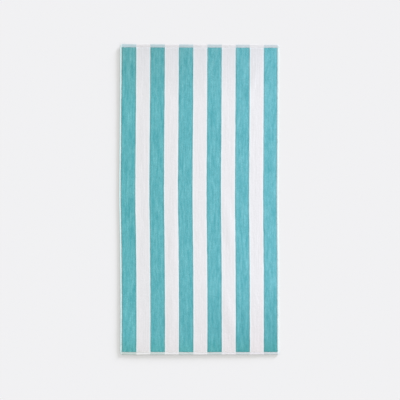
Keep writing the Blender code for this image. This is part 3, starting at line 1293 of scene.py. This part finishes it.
class Sheet:
    """A node tree under work, with short calls for the nodes that the finishes share."""

    def __init__(self, name: str) -> None:
        """Start a material that has one Principled BSDF.

        Args:
            name: The material's name.
        """
        self.material = bpy.data.materials.new(name)
        self.material.use_nodes = True
        self.nodes = self.material.node_tree.nodes
        self.links = self.material.node_tree.links
        self.shader = self.nodes["Principled BSDF"]

    def _wire(self, socket: bpy.types.NodeSocket, value: object) -> None:
        """Link a socket to another one, or set its value.

        Args:
            socket: The socket.
            value: The other socket, or the value.
        """
        if isinstance(value, bpy.types.NodeSocket):
            self.links.new(value, socket)
        elif isinstance(value, tuple) and len(value) == 3 and socket.type == "RGBA":
            socket.default_value = (*value, 1.0)
        else:
            socket.default_value = value

    def math(self, operation: str, *values: object) -> bpy.types.NodeSocket:
        """Do arithmetic on up to three values or sockets.

        Args:
            operation: Which arithmetic, as the Math node names it.
            values: What it is done on.

        Returns:
            The result.
        """
        node = self.nodes.new("ShaderNodeMath")
        node.operation = operation
        for socket, value in zip(node.inputs, values):
            self._wire(socket, value)
        return node.outputs["Value"]

    def span(
        self, value: object, low: float, high: float, start: float, end: float, eased: bool = True
    ) -> bpy.types.NodeSocket:
        """Map a value from low and high to start and end, and hold it beyond them.

        Args:
            value: The value.
            low: Where the map starts.
            high: Where it ends.
            start: What low is mapped to.
            end: What high is mapped to.
            eased: Whether the map sets off and arrives gently, and not in a straight line.

        Returns:
            The mapped value.
        """
        node = self.nodes.new("ShaderNodeMapRange")
        node.interpolation_type = "SMOOTHSTEP" if eased else "LINEAR"
        for title, given in (
            ("Value", value),
            ("From Min", low),
            ("From Max", high),
            ("To Min", start),
            ("To Max", end),
        ):
            self._wire(node.inputs[title], given)
        return node.outputs["Result"]

    def mix(self, factor: object, first: object, second: object, blend: str = "MIX") -> bpy.types.NodeSocket:
        """Blend two colours.

        Args:
            factor: How far the blend goes from the first colour, from 0 to 1.
            first: The first colour.
            second: The second colour.
            blend: How they are blended, as the Mix node names it.

        Returns:
            The blended colour.
        """
        node = self.nodes.new("ShaderNodeMix")
        node.data_type = "RGBA"
        node.blend_type = blend
        self._wire(node.inputs["Factor"], factor)
        colours = [socket for socket in node.inputs if socket.type == "RGBA"]
        self._wire(colours[0], first)
        self._wire(colours[1], second)
        return next(socket for socket in node.outputs if socket.type == "RGBA")

    def tinted(self, colour: object, tint: Colour, share: object) -> bpy.types.NodeSocket:
        """Multiply a colour by a tint where a share is 1, and leave it alone where that is 0."""
        return self.mix(1.0, colour, self.mix(share, (1.0, 1.0, 1.0), tint), "MULTIPLY")

    def border(self) -> bpy.types.NodeSocket:
        """Read the distance from the nearer long edge of the stripe.

        Returns:
            The distance, in metres.
        """
        node = self.nodes.new("ShaderNodeAttribute")
        node.attribute_name = BORDER
        return node.outputs["Fac"]

    def cloth(self) -> bpy.types.NodeSocket:
        """Read the place on the flat cut.

        Returns:
            The place, in metres.
        """
        node = self.nodes.new("ShaderNodeUVMap")
        node.uv_map = CLOTH_MAP
        return node.outputs["UV"]

    def parts(self, vector: bpy.types.NodeSocket) -> tuple[bpy.types.NodeSocket, bpy.types.NodeSocket]:
        """Split a place on the cut.

        Args:
            vector: The place.

        Returns:
            Its distances across and along.
        """
        node = self.nodes.new("ShaderNodeSeparateXYZ")
        self._wire(node.inputs["Vector"], vector)
        return node.outputs["X"], node.outputs["Y"]

    def stretched(
        self, vector: object, across: float, along: float, turn: float = 0.0
    ) -> bpy.types.NodeSocket:
        """Count a place in cells of a given size.

        Args:
            vector: The place.
            across: Width of a cell.
            along: Length of a cell.
            turn: How far the cells lean to the right towards the head, in degrees.

        Returns:
            The place in cells.
        """
        turned = self.nodes.new("ShaderNodeVectorRotate")
        turned.rotation_type = "Z_AXIS"
        self._wire(turned.inputs["Vector"], vector)
        turned.inputs["Angle"].default_value = math.radians(turn)
        node = self.nodes.new("ShaderNodeMapping")
        self._wire(node.inputs["Vector"], turned.outputs["Vector"])
        node.inputs["Scale"].default_value = (1 / across, 1 / along, 1.0)
        return node.outputs["Vector"]

    def noise(self, vector: object, detail: float = 2.0, roughness: float = 0.5) -> bpy.types.NodeSocket:
        """Make fractal noise around 0.5.

        Args:
            vector: The place, in cells.
            detail: How many finer layers it has.
            roughness: How much each finer layer counts.

        Returns:
            The noise, from 0 to 1.
        """
        node = self.nodes.new("ShaderNodeTexNoise")
        self._wire(node.inputs["Vector"], vector)
        node.inputs["Scale"].default_value = 1.0
        node.inputs["Detail"].default_value = detail
        node.inputs["Roughness"].default_value = roughness
        return node.outputs["Fac"]

    def cells(self, vector: object, scatter: float) -> bpy.types.NodeSocket:
        """Measure how far it is to the nearest of scattered cell middles.

        Args:
            vector: The place, in cells.
            scatter: How far the middles stray from even rows, from 0 to 1.

        Returns:
            The distance, in cells.
        """
        node = self.nodes.new("ShaderNodeTexVoronoi")
        self._wire(node.inputs["Vector"], vector)
        node.inputs["Scale"].default_value = 1.0
        node.inputs["Randomness"].default_value = scatter
        return node.outputs["Distance"]

    def relief(self, height: object, depth: float, strength: float) -> None:
        """Roughen the shader's surface with a height from 0 to 1.

        Args:
            height: The height.
            depth: How many metres a height of 1 stands for.
            strength: Share of it that is felt.
        """
        node = self.nodes.new("ShaderNodeBump")
        node.inputs["Distance"].default_value = depth
        node.inputs["Strength"].default_value = strength
        self._wire(node.inputs["Height"], height)
        self._wire(self.shader.inputs["Normal"], node.outputs["Normal"])

    def shaded(self, colour: object, shade: object) -> bpy.types.NodeSocket:
        """Multiply a colour by a shade."""
        return self.mix(1.0, colour, shade, "MULTIPLY")

    def set(self, **values: object) -> None:
        """Set the shader's own sockets, named with underscores for spaces."""
        for title, value in values.items():
            self._wire(self.shader.inputs[title.replace("_", " ")], value)


@dataclass(frozen=True)
class Touch:
    """How a cloth takes the light, as values of the shader's own sockets."""

    roughness: float
    specular: float
    sheen: float = 0.0
    sheen_roughness: float = 0.5

    def give(self, sheet: Sheet) -> None:
        """Set the values on a material's shader."""
        sheet.set(Roughness=self.roughness, Specular_IOR_Level=self.specular)
        sheet.set(Sheen_Weight=self.sheen, Sheen_Roughness=self.sheen_roughness)


@dataclass(frozen=True)
class Loops:
    """The loops of a pile, as scattered cells with painted shade in the gaps between them.

    Attributes:
        across: Spacing of the loops across the cloth.
        along: Their spacing along it.
        scatter: How far they stray from even rows, from 0 to 1.
        gap: How dark the painted shade in the gaps is.
        gap_start: Distance from a loop's middle, in spacings, where its gap begins.
        gap_end: The same where the gap is darkest.
        depth: Height that a loop seems to stand above its gap.
        bump: How strongly that roughens the surface.
    """

    across: float = 0.0017
    along: float = 0.0021
    scatter: float = 0.75
    gap: float = 0.30
    gap_start: float = 0.25
    gap_end: float = 0.75
    depth: float = 0.0009
    bump: float = 0.55

    def way_out(self, sheet: Sheet, place: bpy.types.NodeSocket) -> bpy.types.NodeSocket:
        """Distance from the middle of the nearest loop, in spacings."""
        return sheet.cells(sheet.stretched(place, self.across, self.along), self.scatter)

    def shade(self, sheet: Sheet, way_out: bpy.types.NodeSocket) -> bpy.types.NodeSocket:
        """What the colour is multiplied by: 1 on a loop and less in a gap, as painted shade."""
        gaps = sheet.span(way_out, self.gap_start, self.gap_end, 0.0, 1.0)
        return sheet.math("SUBTRACT", 1.0, sheet.math("MULTIPLY", gaps, self.gap))


@dataclass(frozen=True)
class DyeAndPaintedSideLight:
    """The colour of one yarn at the left and the right of the towel, where it is dark and where light. The
    change from left to right is painted light, lighter at the right.
    """

    left_dark: Colour
    left_light: Colour
    right_dark: Colour
    right_light: Colour


@dataclass(frozen=True)
class PaintedShade:
    """A patch of painted shade towards one end of the towel, broad or as a narrow line along the pile's edge
    at a hem. Where its tint is above 1 it is painted light.

    Attributes:
        tint: What the colour is multiplied by where the patch is strongest: darker is painted shade, lighter
            is painted light.
        full: Place along from which the patch is fully felt, on towards the end.
        gone: Place along where it is no longer felt.
        left: How much of it is felt at the towel's left side.
        right: The same at its right side.
    """

    tint: Colour
    full: float
    gone: float
    left: float
    right: float


@dataclass(frozen=True)
class Streaks:
    """Light and dark streaks that run along the cloth, as noise in long cells.

    Attributes:
        width: Width of a cell.
        length: Length of a cell.
        lean: How far they lean to the right towards the head, in degrees.
        weight: How much they count beside others.
    """

    width: float
    length: float
    lean: float = 0.0
    weight: float = 1.0


@dataclass(frozen=True)
class Terry:
    """Cotton pile: heathered in streaks along the cloth, with painted shade in the small gaps between its
    loops.

    Attributes:
        dye_and_painted_light: The yarn's colours, lighter at the right as painted light.
        streaks: Its streaks, of several sizes.
        contrast: How far the streaks reach between the dark and the light dye.
        painted_shades: Its painted shade, and painted light, towards the foot and the head.
        border_tint: Tint of the pile that stands against another colour.
        border_full: How far in from the stripe's edge that is fully felt.
        border_gone: How far in it is no longer felt.
        loops: Its loops.
        fuzz: Width and length of the cells of its fuzz.
        fuzz_share: Height of the fuzz, as a share of a loop's.
        touch: How it takes the light.
    """

    dye_and_painted_light: DyeAndPaintedSideLight
    streaks: tuple[Streaks, ...]
    contrast: float
    painted_shades: tuple[PaintedShade, ...]
    border_tint: Colour
    border_full: float = 0.002
    border_gone: float = 0.011
    loops: Loops = Loops()
    fuzz: tuple[float, float] = (0.0007, 0.0009)
    fuzz_share: float = 0.5
    touch: Touch = Touch(roughness=0.95, specular=0.15, sheen=0.10, sheen_roughness=0.6)

    def colour(self, sheet: Sheet, place: bpy.types.NodeSocket) -> bpy.types.NodeSocket:
        """Work out the pile's colour.

        The weighted sum of the streaks decides between the dark and the light yarn colours, both lighter at
        the right as painted light. Painted shade is then laid over the result towards the foot and towards
        the head, with painted light on the white pile's foot edge.

        Args:
            sheet: The node tree under work.
            place: The place on the cut.

        Returns:
            The colour.
        """
        across, along = sheet.parts(place)
        right = sheet.span(across, -SIDE_REACH, SIDE_REACH, 0.0, 1.0, eased=False)
        total = 0.0
        for size in self.streaks:
            streak = sheet.noise(sheet.stretched(place, size.width, size.length, size.lean))
            total = sheet.math("MULTIPLY_ADD", sheet.math("SUBTRACT", streak, 0.5), size.weight, total)
        light = sheet.span(total, -1 / self.contrast, 1 / self.contrast, 0.0, 1.0, eased=False)
        # Both dark and light yarn colours grow lighter towards the right: painted light.
        dark_dye_and_painted_light = sheet.mix(right, self.dye_and_painted_light.left_dark, self.dye_and_painted_light.right_dark)
        light_dye_and_painted_light = sheet.mix(right, self.dye_and_painted_light.left_light, self.dye_and_painted_light.right_light)
        dye_and_painted_shading = sheet.mix(light, dark_dye_and_painted_light, light_dye_and_painted_light)
        # Painted shade towards the foot and the head; a tint above 1 is painted light.
        for shade in self.painted_shades:
            sideways = sheet.span(across, -SIDE_REACH, SIDE_REACH, shade.left, shade.right, eased=False)
            lengthways = sheet.span(along, shade.full, shade.gone, 1.0, 0.0, eased=False)
            dye_and_painted_shading = sheet.tinted(dye_and_painted_shading, shade.tint, sheet.math("MULTIPLY", lengthways, sideways))
        return dye_and_painted_shading

    def build(self, name: str) -> bpy.types.Material:
        """Make the pile's material.

        Its height is that of its fuzz less the distance from the nearest loop's middle.

        Args:
            name: The material's name.

        Returns:
            The material.
        """
        sheet = Sheet(name)
        place = sheet.cloth()
        beside = sheet.span(sheet.border(), self.border_full, self.border_gone, 1.0, 0.0)
        dye_and_painted_shading = sheet.tinted(self.colour(sheet, place), self.border_tint, beside)
        way_out = self.loops.way_out(sheet, place)
        fuzz = sheet.noise(sheet.stretched(place, *self.fuzz), roughness=0.6)
        height = sheet.math("SUBTRACT", sheet.math("MULTIPLY", fuzz, self.fuzz_share), way_out)
        sheet.relief(height, self.loops.depth, self.loops.bump)
        # The colour is darkened in the gaps between the loops: painted shade.
        sheet.set(Base_Color=sheet.shaded(dye_and_painted_shading, self.loops.shade(sheet, way_out)))
        self.touch.give(sheet)
        return sheet.material


@dataclass(frozen=True)
class EndDyeAndPaintedLight:
    """The colour that one yarn gives the two end hems, at the towel's left and at its right. The yarn's tint
    is the hems' own; the change from left to right and the difference between foot and head are painted
    light.
    """

    foot_left: Colour
    foot_right: Colour
    head_left: Colour
    head_right: Colour

    def colour(self, sheet: Sheet, right: object, head: object) -> bpy.types.NodeSocket:
        """Work out the colour.

        Args:
            sheet: The node tree under work.
            right: How far to the right a point lies, from 0 to 1.
            head: 1 on the head hem and 0 on the foot hem.

        Returns:
            The colour.
        """
        foot_dye_and_painted_light = sheet.mix(right, self.foot_left, self.foot_right)
        head_dye_and_painted_light = sheet.mix(right, self.head_left, self.head_right)
        return sheet.mix(head, foot_dye_and_painted_light, head_dye_and_painted_light)


@dataclass(frozen=True)
class FlatWeave:
    """Plain woven cloth without pile, as on the hems, with the coloured warp of the stripes in it.

    Attributes:
        cut: The flat cut.
        teal: Colours where a coloured stripe runs into an end hem, with painted light.
        white: Colours where a white stripe does, with painted light.
        side_left: Colour of the left side hem.
        side_right: Colour of the right side hem, lighter than the left as painted light.
        corner_left: Colour of the two corners at the left, where the hems cross.
        corner_right: The same at the right, lighter as painted light.
        painted_fold_shade: What the colour of an end hem is multiplied by along its fold, as painted shade.
        fold_start: Distance from the cloth's end where that begins.
        fold_full: The same where it is fully felt.
        edge_blur: How far a stripe's colour fades to either side of its edge.
        streak: Width and length of the cells of its faint streaks.
        streak_noise: Values of their noise between which the shade changes.
        streak_shade: Darkest and lightest shade.
        thread: Spacing of the weave's threads.
        thread_depth: How high they stand.
        bump: How strongly that roughens the surface.
        touch: How it takes the light.
    """

    cut: Cut
    teal: EndDyeAndPaintedLight
    white: EndDyeAndPaintedLight
    side_left: Colour
    side_right: Colour
    corner_left: Colour
    corner_right: Colour
    painted_fold_shade: Colour
    fold_start: float = 0.003
    fold_full: float = 0.001
    edge_blur: float = 0.0012
    streak: tuple[float, float] = (0.0018, 0.020)
    streak_noise: tuple[float, float] = (0.3, 0.7)
    streak_shade: tuple[float, float] = (0.95, 1.03)
    thread: float = 0.00062
    thread_depth: float = 0.00012
    bump: float = 0.6
    touch: Touch = Touch(roughness=0.9, specular=0.2, sheen=0.08)

    def warp(self, sheet: Sheet, across: bpy.types.NodeSocket) -> object:
        """Work out where the coloured warp shows.

        Args:
            sheet: The node tree under work.
            across: Distance across the cut.

        Returns:
            1 inside a coloured stripe and 0 elsewhere, with a soft change between.
        """
        found = 0.0
        for stripe in self.cut.stripes():
            if stripe.yarn is Yarn.TEAL:
                off = sheet.math("ABSOLUTE", sheet.math("SUBTRACT", across, stripe.middle))
                start, end = stripe.half_width - self.edge_blur, stripe.half_width + self.edge_blur
                inside = sheet.span(off, start, end, 1.0, 0.0)
                found = sheet.math("ADD", found, inside)
        return found

    def build(self, name: str) -> bpy.types.Material:
        """Make the hems' material.

        Two sets of threads cross at right angles: the height is the product of two waves, and faint
        streaks along the warp vary the colour.

        Args:
            name: The material's name.

        Returns:
            The material.
        """
        sheet = Sheet(name)
        place = sheet.cloth()
        across, along = sheet.parts(place)
        streaks = sheet.noise(sheet.stretched(place, *self.streak), roughness=0.6)
        shade = sheet.span(streaks, *self.streak_noise, *self.streak_shade)
        over = sheet.math("SINE", sheet.math("MULTIPLY", across, math.pi / self.thread))
        under = sheet.math("SINE", sheet.math("MULTIPLY", along, math.pi / self.thread))
        sheet.relief(sheet.math("MULTIPLY", over, under), self.thread_depth, self.bump)
        sheet.set(Base_Color=sheet.shaded(self._hem_colour_and_painted_light(sheet, across, along), shade))
        self.touch.give(sheet)
        return sheet.material

    def _hem_colour_and_painted_light(
        self, sheet: Sheet, across: bpy.types.NodeSocket, along: bpy.types.NodeSocket
    ) -> bpy.types.NodeSocket:
        """Work out the colour of the hems, without its streaks, with its painted light and the painted shade
        along the end hems' folds.

        Args:
            sheet: The node tree under work.
            across: Distance across the cut.
            along: Distance along it.

        Returns:
            The end hems' colour between the side hems, and the side hems' or the corners' beyond.
        """
        half_length = self.cut.length / 2
        right = sheet.span(across, -SIDE_REACH, SIDE_REACH, 0.0, 1.0, eased=False)
        head = sheet.math("GREATER_THAN", along, 0.0)
        white, teal = (dye_and_painted_light.colour(sheet, right, head) for dye_and_painted_light in (self.white, self.teal))
        ends = sheet.mix(self.warp(sheet, across), white, teal)
        from_middle = sheet.math("ABSOLUTE", along)
        fold = sheet.span(from_middle, half_length - self.fold_start, half_length - self.fold_full, 0.0, 1.0)
        # Painted shade along the end hems' fold.
        ends = sheet.tinted(ends, self.painted_fold_shade, fold)
        beyond = sheet.math("GREATER_THAN", sheet.math("ABSOLUTE", across), self.cut.inner_side)
        crossing = sheet.math("GREATER_THAN", from_middle, half_length - self.cut.foot_hem)
        corners = sheet.mix(right, self.corner_left, self.corner_right)
        sides = sheet.mix(crossing, sheet.mix(right, self.side_left, self.side_right), corners)
        return sheet.mix(beyond, ends, sides)


@dataclass(frozen=True)
class BackTerry:
    """The looped back of the cloth, with the same stripes as the front and their painted shade and light,
    and with painted shade in the gaps between its loops.

    Attributes:
        cut: The flat cut.
        teal: The coloured pile of the front.
        white: The white pile of the front.
        waver: How far the stripes' edges waver to either side at most.
        waver_cell: Width and length of the cells of their wavers.
        loops: Its loops.
        touch: How it takes the light.
    """

    cut: Cut
    teal: Terry
    white: Terry
    waver: float = 0.0018
    waver_cell: tuple[float, float] = (0.004, 0.005)
    loops: Loops = Loops(across=0.0021, along=0.0024, scatter=0.6, gap=0.35, depth=0.0011, bump=0.7)
    touch: Touch = Touch(roughness=0.95, specular=0.15, sheen=0.12)

    def build(self, name: str) -> bpy.types.Material:
        """Make the back's material.

        Both yarns' colours are worked out, with their painted shade and light, and the stripes choose
        between them with edges that waver.

        Args:
            name: The material's name.

        Returns:
            The material.
        """
        sheet = Sheet(name)
        place = sheet.cloth()
        across = sheet.parts(place)[0]
        waver = sheet.noise(sheet.stretched(place, *self.waver_cell), detail=1.0)
        shift = sheet.math("MULTIPLY", sheet.math("SUBTRACT", waver, 0.5), 2 * self.waver)
        spot = sheet.math("ADD", across, shift)
        found = 0.0
        for stripe in self.cut.stripes():
            if stripe.yarn is Yarn.TEAL:
                off = sheet.math("ABSOLUTE", sheet.math("SUBTRACT", spot, stripe.middle))
                found = sheet.math("ADD", found, sheet.math("LESS_THAN", off, stripe.half_width))
        dye_and_painted_shading = sheet.mix(found, self.white.colour(sheet, place), self.teal.colour(sheet, place))
        way_out = self.loops.way_out(sheet, place)
        sheet.relief(sheet.math("SUBTRACT", 1.0, way_out), self.loops.depth, self.loops.bump)
        # The colour is darkened in the gaps between the loops: painted shade.
        sheet.set(Base_Color=sheet.shaded(dye_and_painted_shading, self.loops.shade(sheet, way_out)))
        self.touch.give(sheet)
        return sheet.material


@dataclass(frozen=True)
class Thread:
    """White cotton sewing thread, twisted from two plies.

    Attributes:
        colour: Its colour where it is lightest.
        twist: Spacing of the bands of its twist.
        dark: Painted shade in the groove between two bands.
        depth: How high a band stands.
        bump: How strongly that roughens the surface.
        touch: How it takes the light.
    """

    colour: Colour = (0.80, 0.80, 0.82)
    twist: float = 0.0006
    dark: float = 0.86
    depth: float = 0.00006
    bump: float = 0.6
    touch: Touch = Touch(roughness=0.7, specular=0.35)

    def build(self, name: str) -> bpy.types.Material:
        """Make the thread's material.

        Slanting bands across the strand stand for the twist, with painted shade in the grooves between them.

        Args:
            name: The material's name.

        Returns:
            The material.
        """
        sheet = Sheet(name)
        across, along = sheet.parts(sheet.cloth())
        slant = sheet.math("MULTIPLY", sheet.math("ADD", across, along), 2 * math.pi / self.twist)
        bands = sheet.math("MULTIPLY_ADD", sheet.math("SINE", slant), 0.5, 0.5)
        sheet.relief(bands, self.depth, self.bump)
        sheet.set(Base_Color=sheet.shaded(self.colour, sheet.span(bands, 0.0, 1.0, self.dark, 1.0)))
        self.touch.give(sheet)
        return sheet.material


TEAL_PILE = Terry(
    # Yarn colours, with painted light that makes the right side lighter.
    dye_and_painted_light=DyeAndPaintedSideLight(
        left_dark=(0.060, 0.374, 0.407),
        left_light=(0.182, 0.572, 0.597),
        right_dark=(0.092, 0.450, 0.514),
        right_light=(0.238, 0.658, 0.734),
    ),
    streaks=(
        Streaks(width=0.0105, length=0.042, lean=1.5),
        Streaks(width=0.0120, length=0.130, lean=0.5),
        Streaks(width=0.0250, length=0.140, lean=1.5, weight=0.8),
    ),
    contrast=2.0,
    # Painted shade: broad towards the foot and the head, and in thin lines at the pile's edges by the end
    # hems.
    painted_shades=(
        PaintedShade(tint=(0.60, 0.77, 0.74), full=-0.860, gone=-0.470, left=0.0, right=1.0),
        PaintedShade(tint=(0.88, 0.94, 0.88), full=-0.860, gone=-0.770, left=1.0, right=1.0),
        PaintedShade(tint=(0.87, 0.94, 0.95), full=-0.860, gone=-0.844, left=0.0, right=1.0),
        PaintedShade(tint=(0.98, 0.80, 0.78), full=0.860, gone=0.853, left=1.0, right=0.8),
        PaintedShade(tint=(0.98, 0.88, 0.85), full=0.860, gone=0.570, left=1.0, right=0.1),
    ),
    border_tint=(1.30, 0.84, 0.82),
)

WHITE_PILE = Terry(
    # Yarn colours, with painted light that makes the right side lighter.
    dye_and_painted_light=DyeAndPaintedSideLight(
        left_dark=(0.719, 0.721, 0.712),
        left_light=(0.777, 0.771, 0.766),
        right_dark=(0.793, 0.788, 0.797),
        right_light=(0.851, 0.846, 0.861),
    ),
    streaks=(
        Streaks(width=0.0034, length=0.120),
        Streaks(width=0.0034, length=0.500),
    ),
    contrast=4.6,
    # Painted shade towards the foot and the head; the third entry is painted light along the pile's edge at
    # the foot hem.
    painted_shades=(
        PaintedShade(tint=(0.93, 0.895, 0.885), full=-0.860, gone=-0.470, left=0.25, right=1.0),
        PaintedShade(tint=(0.925, 0.915, 0.905), full=-0.860, gone=-0.770, left=1.0, right=0.5),
        PaintedShade(tint=(1.18, 1.19, 1.17), full=-0.862, gone=-0.856, left=1.0, right=1.0),
        PaintedShade(tint=(0.90, 0.91, 0.92), full=0.860, gone=0.570, left=1.0, right=1.0),
    ),
    border_tint=(0.92, 1.13, 1.15),
    border_gone=0.009,
    loops=Loops(gap=0.08, bump=0.38),
)


def hem_cloth(cut: Cut) -> FlatWeave:
    """Choose the colours of the hems' flat weave.

    Args:
        cut: The flat cut.

    Returns:
        The weave.
    """
    return FlatWeave(
        cut,
        teal=EndDyeAndPaintedLight(
            foot_left=(0.49, 0.57, 0.53),
            foot_right=(0.575, 0.61, 0.62),
            head_left=(0.43, 0.555, 0.575),
            head_right=(0.575, 0.64, 0.67),
        ),
        white=EndDyeAndPaintedLight(
            foot_left=(0.695, 0.70, 0.675),
            foot_right=(0.72, 0.70, 0.72),
            head_left=(0.70, 0.69, 0.685),
            head_right=(0.76, 0.755, 0.765),
        ),
        side_left=(0.60, 0.80, 0.79),
        side_right=(0.72, 0.86, 0.85),
        corner_left=(0.61, 0.70, 0.68),
        corner_right=(0.68, 0.735, 0.74),
        painted_fold_shade=(0.87, 0.87, 0.84),
    )


@dataclass
class Studio:
    """The floor, the light and the camera.

    Attributes:
        frame_width: Width of floor that the photograph's frame shows.
        aim: Where on the floor the middle of the frame lies.
        lens: Focal length of the camera, in millimetres.
        sensor: Width of its film, in millimetres.
        floor_colour: Colour of the floor.
        sky_colour: Colour of the even light from all round.
        sky_strength: Its strength.
        sun_colour: Colour of the light from the upper right.
        sun_strength: Its strength.
        sun_height: How far above the floor the light from the upper right stands, in degrees.
        sun_bearing: How far it stands round from the towel's right side towards its head, in degrees.
        sun_spread: How wide it is, in degrees, which softens the shadow.
        floor_size: Side of the square floor.
        far: How far away the camera still sees.
    """

    frame_width: float = 2.265
    aim: tuple[float, float] = (0.0046, -0.0033)
    lens: float = 85.0
    sensor: float = 36.0
    floor_colour: Colour = (0.790, 0.789, 0.778)
    sky_colour: Colour = (1.0, 1.0, 1.0)
    sky_strength: float = 0.884
    sun_colour: Colour = (1.0, 1.0, 1.15)
    sun_strength: float = 4.0
    sun_height: float = 10.4
    sun_bearing: float = 50.0
    sun_spread: float = 13.0
    floor_size: float = 40.0
    far: float = 100.0

    def build(self) -> None:
        """Make the floor, the light and the camera."""
        self._floor()
        self._light()
        self._camera()
        bpy.context.scene.view_settings.view_transform = "Standard"
        LOG.info("studio: floor, light from the upper right, camera straight above")

    def _floor(self) -> None:
        """Make the plain pale floor."""
        half = self.floor_size / 2
        mesh = bpy.data.meshes.new("floor")
        corners = [(-half, -half, 0.0), (half, -half, 0.0), (half, half, 0.0), (-half, half, 0.0)]
        mesh.from_pydata(corners, [], [(0, 1, 2, 3)])
        floor = bpy.data.objects.new("floor", mesh)
        bpy.context.scene.collection.objects.link(floor)
        sheet = Sheet("pale_floor")
        sheet.set(Base_Color=self.floor_colour, Roughness=1.0, Specular_IOR_Level=0.0)
        mesh.materials.append(sheet.material)

    def _light(self) -> None:
        """Light the scene evenly from all round, and from the upper right with a low wide light."""
        world = bpy.data.worlds.new("studio")
        world.use_nodes = True
        backdrop = world.node_tree.nodes["Background"]
        backdrop.inputs["Color"].default_value = (*self.sky_colour, 1.0)
        backdrop.inputs["Strength"].default_value = self.sky_strength
        bpy.context.scene.world = world
        lamp = bpy.data.lights.new("low_window", "SUN")
        lamp.energy = self.sun_strength
        lamp.color = self.sun_colour
        lamp.angle = math.radians(self.sun_spread)
        light = bpy.data.objects.new("low_window", lamp)
        light.rotation_euler = (math.radians(90 - self.sun_height), 0.0, math.radians(90 + self.sun_bearing))
        bpy.context.scene.collection.objects.link(light)

    def _camera(self) -> None:
        """Look straight down from where the frame's width fills the view."""
        lens = bpy.data.cameras.new("camera")
        lens.lens = self.lens
        lens.sensor_width = self.sensor
        lens.clip_end = self.far
        camera = bpy.data.objects.new("camera", lens)
        camera.location = (*self.aim, self.frame_width * self.lens / self.sensor)
        bpy.context.scene.collection.objects.link(camera)
        bpy.context.scene.camera = camera


@dataclass
class BeachTowel:
    """The whole towel: its ground weave, pile, hems, stitches and loops.

    Attributes:
        cut: The flat cut.
        pieces: Every piece that is built, in order.
    """

    cut: Cut = field(default_factory=Cut)
    pieces: list[bpy.types.Object] = field(default_factory=list)

    def keep(self, piece: bpy.types.Object, material: bpy.types.Material) -> bpy.types.Object:
        """Dress a piece and let it ride with the cloth.

        Args:
            piece: The piece.
            material: Its material.

        Returns:
            The piece.
        """
        piece.data.materials.append(material)
        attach(piece, BODY)
        self.pieces.append(piece)
        LOG.info("%s: %d triangles", piece.name, triangles_of(piece))
        return piece

    def build(self) -> None:
        """Build every piece of the towel and dress it."""
        laid = LaidOut(self.cut)
        relief = PileRelief(self.cut)
        pile = {Yarn.TEAL: TEAL_PILE.build("teal_pile"), Yarn.WHITE: WHITE_PILE.build("white_pile")}
        ground = self._add_ground(laid)
        self._add_pile(laid, relief, pile)
        self._add_hems(laid)
        loops = EdgeLoops(laid, relief)
        for yarn in Yarn:
            self.keep(loops.build(yarn), pile[yarn])
        self.cut.width
        [piece for piece in self.pieces if piece is not ground]
        total = sum(triangles_of(piece) for piece in self.pieces)
        LOG.info("towel: %d pieces, %d triangles", len(self.pieces), total)

    def _add_ground(self, laid: LaidOut) -> bpy.types.Object:
        """Build the ground weave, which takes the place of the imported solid.

        Args:
            laid: How the cloth lies.

        Returns:
            The ground weave.
        """
        back = BackTerry(self.cut, TEAL_PILE, WHITE_PILE).build("back_pile")
        ground = self.keep(Ground(laid).build(), back)
        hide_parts(NODE)
        return ground

    def _add_pile(self, laid: LaidOut, relief: PileRelief, pile: dict[Yarn, bpy.types.Material]) -> None:
        """Build the pile of every stripe.

        Args:
            laid: How the cloth lies.
            relief: The pile's surface.
            pile: The material of each yarn.
        """
        slabs = PileField(laid, relief)
        for stripe in self.cut.stripes():
            self.keep(slabs.build_stripe(stripe), pile[stripe.yarn])

    def _add_hems(self, laid: LaidOut) -> None:
        """Build the four hems, each with a row of stitches on both faces.

        Args:
            laid: How the cloth lies.
        """
        cloth = hem_cloth(self.cut).build("hem_weave")
        thread = Thread().build("hem_thread")
        for side in Side:
            hem = Hem(laid, side)
            self.keep(hem.build(), cloth)
            for face in Face:
                self.keep(StitchRow(hem, face).build(), thread)


def main() -> None:
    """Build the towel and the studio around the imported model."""
    logging.basicConfig(level=logging.INFO, format="%(name)s: %(message)s")
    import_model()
    BeachTowel().build()
    Studio().build()


if __name__ == "__main__":
    main()
